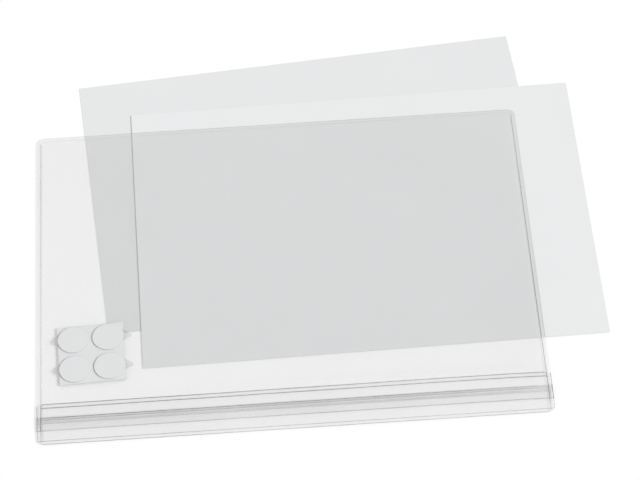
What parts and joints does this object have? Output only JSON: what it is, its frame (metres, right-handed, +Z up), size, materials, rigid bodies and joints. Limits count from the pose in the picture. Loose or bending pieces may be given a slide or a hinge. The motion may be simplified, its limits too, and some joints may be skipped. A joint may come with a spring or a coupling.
{
  "type": "self-adhesive document pocket",
  "caption": "Clear film document pocket with a press-seal closure and adhesive discs on a liner, lying on blank sheets.",
  "frame": {"origin": "underside of the lower sheet, straight below the middle of the pocket", "axes": "+X along the long side of the pocket, +Y away from the closure, +Z up out of the front film"},
  "size_m": [0.3642, 0.3143, 0.003],
  "materials": {
    "clear_film": "gloss",
    "closure_film": "gloss",
    "blank_sheet": "matte",
    "liner_paper": "satin",
    "adhesive_foam": "matte",
    "cover_film": "satin"
  },
  "bodies": {
    "root": {"insert_sheet_lower": "blank_sheet", "insert_sheet_upper": "blank_sheet", "back_film": "clear_film", "front_film": "clear_film", "closure_lower_strip": "closure_film", "closure_upper_strip": "closure_film", "pad_liner": "liner_paper", "adhesive_disc_upper_left": "adhesive_foam", "adhesive_disc_upper_right": "adhesive_foam", "adhesive_disc_lower_left": "adhesive_foam", "adhesive_disc_lower_right": "adhesive_foam", "disc_cover_upper_left": "cover_film", "disc_cover_upper_right": "cover_film", "disc_cover_lower_left": "cover_film", "disc_cover_lower_right": "cover_film"}
  },
  "joints": []
}
